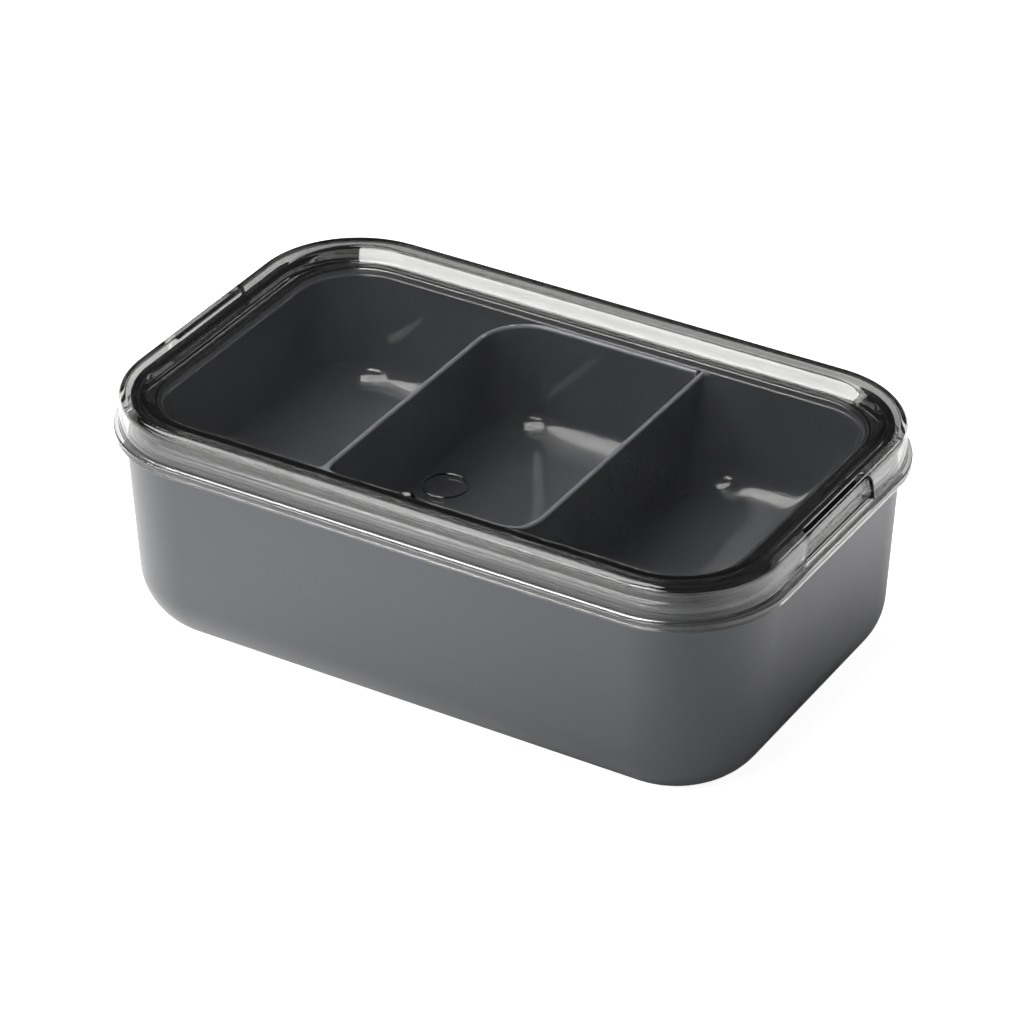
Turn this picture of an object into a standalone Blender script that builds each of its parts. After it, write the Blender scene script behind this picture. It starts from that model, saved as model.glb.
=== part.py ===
"""Lunch box with a clear press-on lid, a lift-out tray and two loose dividers.

+X runs along the long side, +Y to the back and +Z up. The origin is at the
middle of the base, on the surface that the box stands on. Lengths are metres.

Every wall is a rounded rectangle swept up and down. An inset is how far a
wall lies inside the lid's outer face, measured square to it, so one number
places a wall on all four sides and gives its corner radius.
"""

import math

import bmesh
import bpy
from mathutils import Vector

MM = 0.001
FIT_GAP = 0.3 * MM

# Lid, measured at the outer face of its skirt
LID_HALF_LENGTH = 101.0 * MM
LID_HALF_WIDTH = 63.0 * MM
LID_CORNER_RADIUS = 31.0 * MM
LID_TOP = 73.0 * MM
LID_BOTTOM = 60.4 * MM
LIP_PROJECTION = 1.5 * MM
LIP_TOP = 63.0 * MM
SKIRT_THICKNESS = 1.6 * MM
RIM_ROUNDING = 1.6 * MM
RIM_INNER_INSET = 6.8 * MM
RIM_ROOF = 71.0 * MM
PANEL_INSET = 11.0 * MM
PANEL_TOP = 69.8 * MM
PANEL_THICKNESS = 2.0 * MM
RIB_BOTTOM = 66.4 * MM
RIB_WIDTH = 1.5 * MM
RIB_EDGE = 0.4 * MM

# Small steps and roundings of the lid's section
PANEL_BORDER = 1.5 * MM
RIM_FOOT_RUN = 0.5 * MM
RIM_FOOT_RISE = 0.3 * MM
RIM_CREST_RUN = 0.9 * MM
RIM_CREST_DROP = 0.6 * MM
RIM_CREST_WIDTH = 1.2 * MM
SKIRT_LEAN = 0.15 * MM
LIP_EDGE = 0.5 * MM
LIP_SHOULDER = 0.3 * MM
LIP_WALL_INSET = 1.1 * MM
CHANNEL_CORNER = 0.9 * MM
CHANNEL_SLOPE = 1.4 * MM
FINE = 0.1 * MM

# Finger recess in the middle of each short side of the lid
RECESS_HALF_LENGTH = 19.5 * MM
RECESS_HALF_FLAT = 15.2 * MM
RECESS_DEPTH = 1.9 * MM
RECESS_INNER_STEP = 1.25 * MM
RECESS_TOP = 71.9 * MM
RECESS_SHOULDER = 70.4 * MM
RECESS_LEAST_ARCH = 0.15

# Raised ring mark and gate nub moulded in the lid
MARK_RADIUS = 6.0 * MM
MARK_HALF_WIDTH = 0.4 * MM
MARK_HEIGHT = 0.3 * MM
MARK_ROOT = 0.6 * MM
MARK_CENTRE = (4.8 * MM, -42.2 * MM)
NUB_RADIUS = 1.5 * MM
NUB_STRETCH = 1.9
NUB_CENTRE = (-0.5 * MM, -52.5 * MM, 70.3 * MM)

# Box body
BODY_TOP_INSET = 1.6 * MM
BODY_SHOULDER = 60.9 * MM
BODY_SHOULDER_ROUNDING = 0.8 * MM
BODY_DRAFT = math.radians(3.0)
BODY_BASE_RADIUS = 18.5 * MM
BODY_WALL = 2.4 * MM
BODY_FLOOR = 2.4 * MM
NECK_OUTER_INSET = 3.3 * MM
NECK_INNER_INSET = 5.1 * MM
NECK_TOP = 63.0 * MM
NECK_BOTTOM = 60.0 * MM
NECK_STEP_DROP = 2.0 * MM
NECK_EDGE = 0.4 * MM

# Tray
TRAY_FLANGE_INSET = 3.5 * MM
TRAY_TOP = 65.0 * MM
TRAY_FLANGE_THICKNESS = 1.7 * MM
TRAY_INNER_INSET = 11.4 * MM
TRAY_WALL = 1.7 * MM
TRAY_FLOOR = 31.5 * MM
TRAY_FLOOR_THICKNESS = 1.8 * MM
TRAY_FLOOR_FILLET = 6.5 * MM
TRAY_FLANGE_EDGE = 0.5 * MM
TRAY_MOUTH_ROUNDING = 0.8 * MM
TRAY_DRAFT = math.radians(2.0)

# Dividers
DIVIDER_CENTRE = 31.6 * MM
DIVIDER_THICKNESS = 1.5 * MM
DIVIDER_TOP = 64.8 * MM
DIVIDER_BEND_RADIUS = 15.0 * MM
DIVIDER_FOOT_RADIUS = 5.0 * MM
DIVIDER_FOOT_EDGE = 0.3 * MM
DIVIDER_CROWN = 0.7 * MM
CROWN_SHARE = 0.9
FLANGE_END_GAP = 1.0 * MM
HEEL_RADIUS = 11.0 * MM
HEEL_TAPER = 8.0 * MM
COVE_RADIUS = 12.0 * MM
COVE_RUNOUT = 9.0 * MM
COVE_LEAST = 0.05
HEEL_FLANGE_GAP = 14.0 * MM

# Seal ring in the lid's channel
SEAL_OUTER_INSET = 3.4 * MM
SEAL_INNER_INSET = 9.0 * MM
SEAL_BOTTOM = 65.3 * MM
SEAL_LIP_WIDTH = 1.0 * MM
SEAL_LIP_RISE = 0.8 * MM
SEAL_GROOVE_HALF = 0.8 * MM
SEAL_ROOF_CORNER = 0.6 * MM
SEAL_ROOF_END = 1.9 * MM
SEAL_SLOPE_DROP = 1.7 * MM

# How finely round shapes are divided
CORNER_STEPS = 8
ARC_STEPS = 6
BEND_STEPS = 9
MARK_SEGMENTS = 36
MARK_STEPS = 4
CROWN_STEPS = 3


def clear_scene():
    for obj in list(bpy.data.objects):
        bpy.data.objects.remove(obj, do_unlink=True)


def make_material(name, colour, roughness, transmission=0.0, ior=1.5):
    material = bpy.data.materials.new(name)
    material.use_nodes = True
    shader = material.node_tree.nodes["Principled BSDF"]
    shader.inputs["Base Color"].default_value = (*colour, 1.0)
    shader.inputs["Roughness"].default_value = roughness
    shader.inputs["Metallic"].default_value = 0.0
    shader.inputs["Transmission Weight"].default_value = transmission
    shader.inputs["IOR"].default_value = ior
    material.diffuse_color = (*colour, 1.0)
    return material


def make_object(name, bm, material):
    bmesh.ops.recalc_face_normals(bm, faces=bm.faces)
    mesh = bpy.data.meshes.new(name)
    bm.to_mesh(mesh)
    bm.free()
    mesh.materials.append(material)
    mesh.shade_smooth()
    mesh.set_sharp_from_angle(angle=math.radians(32.0))
    obj = bpy.data.objects.new(name, mesh)
    bpy.context.scene.collection.objects.link(obj)
    return obj


def outline(inset, side_stops=()):
    """Points of a rounded rectangle, anticlockwise from the right-hand side's front end.

    side_stops adds points along the two short sides, at these distances from
    their middle, for walls that carry the finger recesses.
    """
    half_x = LID_HALF_LENGTH - inset
    half_y = LID_HALF_WIDTH - inset
    radius = max(LID_CORNER_RADIUS - inset, 0.5 * MM)
    flat_x = half_x - radius
    flat_y = half_y - radius
    points = [(half_x, y) for y in side_stops]
    centres = ((flat_x, flat_y), (-flat_x, flat_y), (-flat_x, -flat_y), (flat_x, -flat_y))
    for corner, (cx, cy) in enumerate(centres):
        for step in range(CORNER_STEPS + 1):
            angle = math.radians(90.0) * (corner + step / CORNER_STEPS)
            points.append((cx + radius * math.cos(angle), cy + radius * math.sin(angle)))
        if corner == 1:
            points.extend((-half_x, -y) for y in side_stops)
    return points


def arc(centre_inset, centre_z, radius, start, stop, steps=ARC_STEPS):
    """Profile points (inset, z) round an arc, with angles in degrees and 0 towards the middle."""
    points = []
    for step in range(steps + 1):
        angle = math.radians(start + (stop - start) * step / steps)
        inset = centre_inset + radius * math.cos(angle)
        points.append((inset, centre_z + radius * math.sin(angle)))
    return points


def sweep(profile, closed, side_stops=(), displace=None):
    """A body made of rounded rectangles joined in the order of the profile.

    closed joins the last one to the first, which makes a ring. Otherwise a
    flat face caps each end.
    """
    bm = bmesh.new()
    loops = []
    for inset, z in profile:
        loop = []
        for x, y in outline(inset, side_stops):
            if displace:
                x += displace(inset, x, y, z)
            loop.append(bm.verts.new((x, y, z)))
        loops.append(loop)
    count = len(loops[0])
    pairs = list(zip(loops, loops[1:]))
    if closed:
        pairs.append((loops[-1], loops[0]))
    for lower, upper in pairs:
        for i in range(count):
            j = (i + 1) % count
            bm.faces.new((lower[i], lower[j], upper[j], upper[i]))
    if not closed:
        bm.faces.new(loops[0])
        bm.faces.new(loops[-1])
    return bm


def body_wall_inset(z):
    """Inset of the body's outer wall line at a height."""
    return BODY_TOP_INSET + (BODY_SHOULDER - z) * math.tan(BODY_DRAFT)


def base_arc(thickness, floor):
    """The rounded edge between the floor and a wall that lies thickness inside the outer wall."""
    radius = BODY_BASE_RADIUS - floor
    lean = BODY_DRAFT
    line_inset = body_wall_inset(BODY_BASE_RADIUS) + thickness / math.cos(lean)
    centre = line_inset + radius / math.cos(lean)
    stop = 180.0 + math.degrees(lean)
    return arc(centre, BODY_BASE_RADIUS, radius, 270.0, stop, ARC_STEPS + 2)


def make_body(material):
    outer = base_arc(0.0, 0.0)
    rounding = BODY_SHOULDER_ROUNDING
    shoulder = arc(BODY_TOP_INSET + rounding, BODY_SHOULDER, rounding, 180.0, 90.0, 4)
    shoulder_top = BODY_SHOULDER + rounding
    neck_outside = [
        (NECK_OUTER_INSET - NECK_EDGE, shoulder_top),
        (NECK_OUTER_INSET, shoulder_top + NECK_EDGE),
        (NECK_OUTER_INSET, NECK_TOP - NECK_EDGE),
        (NECK_OUTER_INSET + NECK_EDGE, NECK_TOP),
    ]
    neck_inside = [
        (NECK_INNER_INSET - NECK_EDGE, NECK_TOP),
        (NECK_INNER_INSET, NECK_TOP - NECK_EDGE),
        (NECK_INNER_INSET, NECK_BOTTOM),
    ]
    step_height = NECK_BOTTOM - NECK_STEP_DROP
    inner_step = [(body_wall_inset(step_height) + BODY_WALL, step_height)]
    inner = list(reversed(base_arc(BODY_WALL, BODY_FLOOR)))
    profile = outer + shoulder + neck_outside + neck_inside + inner_step + inner
    return make_object("box_body", sweep(profile, False), material)


def tray_wall_inset(z, gap=0.0):
    """Inset of the tray's inner wall at a height, with its fillet at the floor."""
    inset = TRAY_INNER_INSET + (TRAY_TOP - z) * math.tan(TRAY_DRAFT) + gap
    radius = TRAY_FLOOR_FILLET - gap
    drop = TRAY_FLOOR + TRAY_FLOOR_FILLET - z
    if drop > 0.0:
        drop = min(drop, radius)
        inset += radius - math.sqrt(radius * radius - drop * drop)
    return inset


def tray_heights():
    """Heights at which the tray's inner wall is drawn, from its top to its floor."""
    steps = ARC_STEPS + 1
    heights = [TRAY_TOP - TRAY_MOUTH_ROUNDING]
    for step in range(steps + 1):
        angle = math.radians(90.0) * step / steps
        heights.append(TRAY_FLOOR + TRAY_FLOOR_FILLET * (1.0 - math.sin(angle)))
    return heights


def make_tray(material):
    under_flange = TRAY_TOP - TRAY_FLANGE_THICKNESS
    wall_outside = TRAY_INNER_INSET - TRAY_WALL
    drop = under_flange - TRAY_FLOOR
    wall_foot = wall_outside + drop * math.tan(TRAY_DRAFT)
    outer_fillet = TRAY_FLOOR_FILLET + TRAY_FLOOR_THICKNESS
    under_floor = TRAY_FLOOR - TRAY_FLOOR_THICKNESS
    fillet_centre = wall_foot + outer_fillet
    profile = arc(fillet_centre, under_floor + outer_fillet, outer_fillet, 270.0, 180.0)
    profile += [
        (wall_outside + TRAY_FLANGE_EDGE * math.tan(TRAY_DRAFT), under_flange - TRAY_FLANGE_EDGE),
        (wall_outside - TRAY_FLANGE_EDGE, under_flange),
        (TRAY_FLANGE_INSET + TRAY_FLANGE_EDGE, under_flange),
        (TRAY_FLANGE_INSET, under_flange + TRAY_FLANGE_EDGE),
        (TRAY_FLANGE_INSET, TRAY_TOP - TRAY_FLANGE_EDGE),
        (TRAY_FLANGE_INSET + TRAY_FLANGE_EDGE, TRAY_TOP),
    ]
    mouth = TRAY_MOUTH_ROUNDING
    profile += arc(TRAY_INNER_INSET - mouth, TRAY_TOP - mouth, mouth, 90.0, 20.0, 4)
    profile += [(tray_wall_inset(z), z) for z in tray_heights()]
    return make_object("inner_tray", sweep(profile, False), material)


def recess_reach(z):
    """Half length of the finger recess at a height: its ends are arches, narrow at the top."""
    rise = min(max((z - LIP_TOP) / (RECESS_TOP - LIP_TOP), 0.0), 1.0)
    arch = max(math.sqrt(1.0 - rise * rise), RECESS_LEAST_ARCH)
    return RECESS_HALF_FLAT + (RECESS_HALF_LENGTH - RECESS_HALF_FLAT) * arch


def recess_amount(y, z, foot):
    """How deep the recess is at a point of the skirt, from 0 to 1."""
    if z < foot or z > RECESS_TOP:
        return 0.0
    reach = recess_reach(z)
    along = min(max((reach - abs(y)) / (reach - RECESS_HALF_FLAT), 0.0), 1.0)
    up = min((RECESS_TOP - z) / (RECESS_TOP - RECESS_SHOULDER), 1.0)
    return math.sqrt(1.0 - (1.0 - along) ** 2) * math.sin(up * math.pi / 2.0)


def lid_displacement(inset, x, y, z):
    """Moves the skirt's faces in towards the middle where the finger recesses are."""
    if abs(y) > RECESS_HALF_LENGTH or abs(x) < LID_HALF_LENGTH - 3.0 * MM:
        return 0.0
    if inset < 1.0 * MM:
        depth = RECESS_DEPTH * recess_amount(y, z, LIP_TOP + 0.2 * MM)
    else:
        depth = RECESS_INNER_STEP * recess_amount(y, z, LIP_TOP - 0.2 * MM)
    return -math.copysign(depth, x)


def recess_stops():
    """Where the short sides are divided: along both ramps and both ends of the flat."""
    ramp = RECESS_HALF_LENGTH - RECESS_HALF_FLAT
    ends = [RECESS_HALF_FLAT + ramp * step / 5.0 for step in range(6)]
    half = [0.0, RECESS_HALF_FLAT * 0.5] + ends
    return [-y for y in reversed(half[1:])] + half


def lid_profile():
    """The lid's section: from the panel's top, out over the rim and back to its underside."""
    top = [
        (PANEL_INSET + PANEL_BORDER, PANEL_TOP),
        (PANEL_INSET + 2.0 * FINE, PANEL_TOP),
        (PANEL_INSET - RIM_FOOT_RUN, PANEL_TOP + RIM_FOOT_RISE),
        (RIM_INNER_INSET + RIM_CREST_RUN, LID_TOP - RIM_CREST_DROP),
        (RIM_INNER_INSET, LID_TOP - FINE),
        (RIM_INNER_INSET - RIM_CREST_WIDTH, LID_TOP),
    ]
    rounding_centre = RIM_ROUNDING + 2.0 * FINE
    rounding = arc(rounding_centre, LID_TOP - RIM_ROUNDING, RIM_ROUNDING, 90.0, 180.0)
    skirt = [
        (SKIRT_LEAN, RECESS_SHOULDER),
        (SKIRT_LEAN / 2.0, (RECESS_SHOULDER + LIP_TOP) / 2.0),
        (0.0, LIP_TOP + LIP_SHOULDER),
        (-LIP_SHOULDER, LIP_TOP - FINE),
    ]
    lip = [
        (-LIP_PROJECTION + LIP_EDGE, LIP_TOP - LIP_SHOULDER),
        (-LIP_PROJECTION, LIP_TOP - LIP_SHOULDER - LIP_EDGE),
        (-LIP_PROJECTION, LID_BOTTOM + LIP_EDGE),
        (-LIP_PROJECTION + LIP_EDGE, LID_BOTTOM),
        (LIP_WALL_INSET - LIP_SHOULDER, LID_BOTTOM),
        (LIP_WALL_INSET, LID_BOTTOM + LIP_SHOULDER),
    ]
    roof = RIM_ROOF
    channel_outside = SKIRT_THICKNESS + 2.0 * FINE
    rib_outside = PANEL_INSET - RIB_WIDTH
    under_panel = PANEL_TOP - PANEL_THICKNESS
    inside = [
        (LIP_WALL_INSET, LIP_TOP - 4.0 * LIP_SHOULDER),
        (SKIRT_THICKNESS, LIP_TOP - LIP_EDGE),
        (SKIRT_THICKNESS, LIP_TOP - LIP_SHOULDER / 2.0),
        (SKIRT_THICKNESS + FINE, RECESS_SHOULDER),
        (channel_outside, roof - CHANNEL_CORNER),
        (channel_outside + CHANNEL_CORNER - 2.0 * FINE, roof - FINE),
        (RIM_INNER_INSET - CHANNEL_SLOPE, roof),
        (rib_outside - 2.0 * FINE, PANEL_TOP - CHANNEL_SLOPE),
        (rib_outside, RIB_BOTTOM + RIB_EDGE),
        (rib_outside + RIB_EDGE, RIB_BOTTOM),
        (PANEL_INSET - RIB_EDGE, RIB_BOTTOM),
        (PANEL_INSET, RIB_BOTTOM + RIB_EDGE),
        (PANEL_INSET + 2.0 * FINE, under_panel),
        (PANEL_INSET + PANEL_BORDER, under_panel),
    ]
    return top + rounding + skirt + lip + inside


def add_boolean(target, tool, operation):
    modifier = target.modifiers.new(tool.name, "BOOLEAN")
    modifier.operation = operation
    modifier.object = tool
    modifier.solver = "EXACT"
    tool.hide_render = True
    tool.display_type = "WIRE"


def add_tool(name, bm, centre):
    bmesh.ops.translate(bm, verts=bm.verts, vec=Vector(centre))
    bmesh.ops.recalc_face_normals(bm, faces=bm.faces)
    mesh = bpy.data.meshes.new(name)
    bm.to_mesh(mesh)
    bm.free()
    tool = bpy.data.objects.new(name, mesh)
    bpy.context.scene.collection.objects.link(tool)
    return tool


def make_mark_tool(name):
    """A thin raised ring, standing on a root that lies inside the panel."""
    inner = MARK_RADIUS - MARK_HALF_WIDTH
    outer = MARK_RADIUS + MARK_HALF_WIDTH
    section = [(inner, -MARK_ROOT), (outer, -MARK_ROOT)]
    for step in range(MARK_STEPS + 1):
        angle = math.pi * step / MARK_STEPS
        radius = MARK_RADIUS + MARK_HALF_WIDTH * math.cos(angle)
        section.append((radius, MARK_HEIGHT * math.sin(angle)))
    bm = bmesh.new()
    rings = []
    for turn in range(MARK_SEGMENTS):
        angle = 2.0 * math.pi * turn / MARK_SEGMENTS
        cos, sin = math.cos(angle), math.sin(angle)
        rings.append([bm.verts.new((radius * cos, radius * sin, z)) for radius, z in section])
    count = len(section)
    for here, ahead in zip(rings, rings[1:] + rings[:1]):
        for i in range(count):
            j = (i + 1) % count
            bm.faces.new((here[i], here[j], ahead[j], ahead[i]))
    return add_tool(name, bm, (*MARK_CENTRE, PANEL_TOP))


def make_nub_tool(name):
    """A small rounded bead lying along the front edge of the panel."""
    bm = bmesh.new()
    bmesh.ops.create_uvsphere(bm, u_segments=16, v_segments=8, radius=NUB_RADIUS)
    for vert in bm.verts:
        vert.co.x *= NUB_STRETCH
    return add_tool(name, bm, NUB_CENTRE)


def make_lid(material):
    bm = sweep(lid_profile(), False, recess_stops(), lid_displacement)
    lid = make_object("lid", bm, material)
    add_boolean(lid, make_mark_tool("mark_ring"), "UNION")
    add_boolean(lid, make_nub_tool("nub_shape"), "UNION")
    return lid


def make_seal(material):
    """A soft ring that fills the channel under the lid's rim, with two lips below."""
    middle = (SEAL_OUTER_INSET + SEAL_INNER_INSET) / 2.0
    roof = RIM_ROOF - FIT_GAP - FINE
    groove = SEAL_BOTTOM + SEAL_LIP_RISE + FINE
    profile = [
        (SEAL_OUTER_INSET + SEAL_LIP_WIDTH, SEAL_BOTTOM),
        (SEAL_OUTER_INSET, SEAL_BOTTOM + SEAL_LIP_RISE),
        (SEAL_OUTER_INSET, roof - SEAL_ROOF_CORNER),
        (SEAL_OUTER_INSET + SEAL_ROOF_CORNER, roof),
        (RIM_INNER_INSET - SEAL_ROOF_END, roof),
        (SEAL_INNER_INSET, PANEL_TOP - SEAL_SLOPE_DROP),
        (SEAL_INNER_INSET, SEAL_BOTTOM + SEAL_LIP_RISE),
        (SEAL_INNER_INSET - SEAL_LIP_WIDTH, SEAL_BOTTOM),
        (middle + SEAL_GROOVE_HALF, groove),
        (middle - SEAL_GROOVE_HALF, groove),
    ]
    return make_object("lid_seal", sweep(profile, True), material)


def foot_width(z):
    """How far the divider's foot flares out from its web at a height."""
    rise = z - (TRAY_FLOOR + FIT_GAP) - DIVIDER_FOOT_EDGE
    rise = max(rise, 0.0)
    if rise >= DIVIDER_FOOT_RADIUS:
        return 0.0
    drop = DIVIDER_FOOT_RADIUS - rise
    return DIVIDER_FOOT_RADIUS - math.sqrt(DIVIDER_FOOT_RADIUS**2 - drop * drop)


def divider_heights():
    """Heights of the divider's sections, close together at its foot and its rounded top."""
    bottom = TRAY_FLOOR + FIT_GAP
    heights = [bottom, bottom + DIVIDER_FOOT_EDGE]
    for step in range(1, ARC_STEPS):
        angle = math.radians(90.0) * step / ARC_STEPS
        heights.append(bottom + DIVIDER_FOOT_EDGE + DIVIDER_FOOT_RADIUS * (1.0 - math.cos(angle)))
    heights.append(TRAY_FLOOR + TRAY_FLOOR_FILLET)
    heights.append(DIVIDER_TOP - COVE_RUNOUT)
    heights.append(DIVIDER_TOP - COVE_RUNOUT * 0.5)
    for step in range(CROWN_STEPS + 1):
        rise = math.sin(math.radians(90.0) * step / CROWN_STEPS)
        heights.append(DIVIDER_TOP - DIVIDER_CROWN * (1.0 - rise))
    return heights


def cove_radius(z):
    """Radius of the fillet at the right divider's back end, which runs out below its top."""
    drop = DIVIDER_TOP - z
    return COVE_RADIUS * min(max(drop / COVE_RUNOUT, COVE_LEAST), 1.0)


def divider_section(z, flange_end, heel, cove):
    """Outline of the bent divider at a height, seen from above, with its web along Y at x = 0."""
    foot = foot_width(z)
    rise = max((z - DIVIDER_TOP) / DIVIDER_CROWN + 1.0, 0.0)
    shrink = DIVIDER_CROWN * (1.0 - math.sqrt(max(1.0 - rise * rise, 0.0))) * CROWN_SHARE
    half = DIVIDER_THICKNESS / 2.0
    wall = LID_HALF_WIDTH - tray_wall_inset(z, FIT_GAP)
    bend = DIVIDER_BEND_RADIUS
    centre_y = wall - half - bend
    outer = half - shrink
    inner = half - shrink + foot
    points = []
    if cove:
        radius = cove_radius(z)
        for step in range(BEND_STEPS + 1):
            angle = math.radians(270.0 + 90.0 * step / BEND_STEPS)
            x = -outer - radius + radius * math.cos(angle)
            points.append((x, -wall + radius + radius * math.sin(angle)))
    else:
        points.append((-outer - foot, -wall))
    points.append((-outer - foot, centre_y - HEEL_TAPER))
    points.append((-outer, centre_y))
    for step in range(1, BEND_STEPS + 1):
        angle = math.radians(180.0 - 90.0 * step / BEND_STEPS)
        x = bend + (bend + outer) * math.cos(angle)
        points.append((x, centre_y + (bend + outer) * math.sin(angle)))
    end = flange_end - foot
    points.append((end, centre_y + bend + outer))
    points.append((end, centre_y + bend - inner))
    for step in range(BEND_STEPS + 1):
        angle = math.radians(90.0 + 90.0 * step / BEND_STEPS)
        x = bend + (bend - inner) * math.cos(angle)
        points.append((x, centre_y + (bend - inner) * math.sin(angle)))
    if heel:
        radius = HEEL_RADIUS - foot * 0.5
        for step in range(BEND_STEPS + 1):
            angle = math.radians(180.0 + 90.0 * step / BEND_STEPS)
            x = inner + radius + radius * math.cos(angle)
            points.append((x, -wall + radius + radius * math.sin(angle)))
    else:
        points.append((inner, -wall))
    return points


def make_divider(name, material, flange_end, heel, cove):
    bm = bmesh.new()
    loops = []
    for z in divider_heights():
        section = divider_section(z, flange_end, heel, cove)
        loops.append([bm.verts.new((x, y, z)) for x, y in section])
    count = len(loops[0])
    for lower, upper in zip(loops, loops[1:]):
        for i in range(count):
            j = (i + 1) % count
            bm.faces.new((lower[i], lower[j], upper[j], upper[i]))
    bottom = bm.faces.new(loops[0])
    top = bm.faces.new(loops[-1])
    bmesh.ops.triangulate(bm, faces=[bottom, top])
    return make_object(name, bm, material)


def make_dividers(material):
    span = 2.0 * DIVIDER_CENTRE - DIVIDER_THICKNESS / 2.0
    left = make_divider("divider_left", material, span - FLANGE_END_GAP, True, False)
    left.location.x = -DIVIDER_CENTRE
    right = make_divider("divider_right", material, span - HEEL_FLANGE_GAP, False, True)
    right.location.x = DIVIDER_CENTRE
    right.rotation_euler.z = math.pi
    return left, right


def main():
    clear_scene()
    grey = make_material("satin_grey_plastic", (0.105, 0.107, 0.113), 0.42)
    tray_grey = make_material("tray_grey_plastic", (0.085, 0.087, 0.093), 0.34)
    divider_grey = make_material("divider_grey_plastic", (0.085, 0.087, 0.093), 0.34)
    clear = make_material("smoked_clear_plastic", (0.62, 0.61, 0.58), 0.04, 0.95, 1.49)
    silicone = make_material("clear_silicone", (0.72, 0.72, 0.70), 0.5, 0.3, 1.41)
    make_body(grey)
    make_tray(tray_grey)
    make_dividers(divider_grey)
    make_seal(silicone)
    make_lid(clear)


main()
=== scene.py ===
import math

import bmesh
import bpy
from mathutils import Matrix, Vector


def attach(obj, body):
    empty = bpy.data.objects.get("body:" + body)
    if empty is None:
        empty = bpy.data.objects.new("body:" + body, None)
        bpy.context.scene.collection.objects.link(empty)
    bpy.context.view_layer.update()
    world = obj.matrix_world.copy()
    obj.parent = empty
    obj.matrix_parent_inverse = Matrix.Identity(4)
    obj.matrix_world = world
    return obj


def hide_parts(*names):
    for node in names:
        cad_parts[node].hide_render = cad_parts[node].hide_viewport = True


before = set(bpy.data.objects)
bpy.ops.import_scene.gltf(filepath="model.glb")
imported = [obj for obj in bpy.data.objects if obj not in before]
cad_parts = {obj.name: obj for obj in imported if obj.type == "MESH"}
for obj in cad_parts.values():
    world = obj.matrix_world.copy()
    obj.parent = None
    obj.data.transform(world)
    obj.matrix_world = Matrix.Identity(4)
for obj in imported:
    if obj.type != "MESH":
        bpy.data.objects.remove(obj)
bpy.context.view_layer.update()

MM = 0.001

# Driving dimensions of the box, the same as in the CAD model. An inset is how
# far a wall lies inside the lid's outer face.
HALF_LENGTH = 101.0 * MM
HALF_WIDTH = 63.0 * MM
CORNER_RADIUS = 31.0 * MM
LID_TOP = 73.0 * MM
LID_BOTTOM = 60.4 * MM
LIP_TOP = 63.0 * MM
LIP_PROJECTION = 1.5 * MM
PANEL_TOP = 69.8 * MM
PANEL_UNDERSIDE = 67.8 * MM
PANEL_INSET = 11.0 * MM
RIM_INNER_INSET = 6.8 * MM
RIM_ROUNDING = 1.8 * MM
RIM_ROOF = 71.0 * MM
SKIRT_INSIDE = 1.6 * MM
RIB_BOTTOM = 66.4 * MM
RIB_WIDTH = 1.5 * MM
LIP_WALL_INSET = 1.1 * MM
LIP_SHOULDER = 0.3 * MM
FINE = 0.1 * MM
RECESS_HALF_LENGTH = 19.5 * MM
RECESS_HALF_FLAT = 15.2 * MM
RECESS_DEPTH = 1.9 * MM
RECESS_INNER_STEP = 1.25 * MM
RECESS_TOP = 71.9 * MM
RECESS_SHOULDER = 70.4 * MM
RECESS_LEAST_ARCH = 0.15
MARK_RADIUS = 6.0 * MM
MARK_LINE = 0.4 * MM
MARK_HEIGHT = 0.3 * MM
MARK_ROOT = 0.6 * MM
MARK_CENTRE = (4.8 * MM, -42.2 * MM)
NUB_CENTRE = (-0.5 * MM, -52.5 * MM, 70.3 * MM)
NUB_RADIUS = 1.5 * MM
NUB_STRETCH = 1.9

BODY_TOP_INSET = 1.6 * MM
SHOULDER_TOP = 61.7 * MM
SHOULDER_ROUNDING = 0.8 * MM
BODY_FLAT_INSET = 23.6 * MM
BODY_DRAFT = math.tan(math.radians(3.0))
BODY_BASE_RADIUS = 18.5 * MM
BODY_WALL = 2.4 * MM
NECK_OUTSIDE = 3.3 * MM
NECK_INSIDE = 5.1 * MM
NECK_TOP = 63.0 * MM
NECK_EDGE = 0.45 * MM
NECK_DEPTH = 3.0 * MM
NECK_STEP_HEIGHT = 58.0 * MM

TRAY_TOP = 65.0 * MM
TRAY_FLANGE_INSET = 3.5 * MM
TRAY_FLANGE_UNDERSIDE = 63.3 * MM
TRAY_INNER_INSET = 11.4 * MM
TRAY_WALL = 1.7 * MM
TRAY_FLOOR = 31.5 * MM
TRAY_UNDERSIDE = 29.7 * MM
TRAY_FILLET = 6.5 * MM
TRAY_FLAT_INSET = 26.0 * MM
TRAY_DRAFT = math.tan(math.radians(2.0))

DIVIDER_CENTRE = 31.6 * MM
DIVIDER_THICKNESS = 1.5 * MM
DIVIDER_TOP = 64.8 * MM
DIVIDER_BEND = 15.0 * MM
FOOT_RADIUS = 5.0 * MM
FOOT_EDGE = 0.02 * MM
FOOT_GAP = -0.02 * MM
HEEL_RADIUS = 11.0 * MM
COVE_RADIUS = 12.0 * MM
COVE_RUNOUT = 9.0 * MM
FLANGE_END_GAP = 1.0 * MM
EDGE_BAND = 0.5 * MM
HEEL_FLANGE_GAP = 14.0 * MM
FIT_GAP = 0.3 * MM
DIVIDER_END_GAP = -0.02 * MM
HEEL_TAPER = 8.0 * MM
CROWN_SHARE = 0.9
# A band just under the dividers' top is painted pale, as a highlight along their top edge.
PAINTED_TOP_HIGHLIGHT_START = 1.0 * MM
PAINTED_TOP_HIGHLIGHT_FULL = 0.6 * MM

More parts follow.
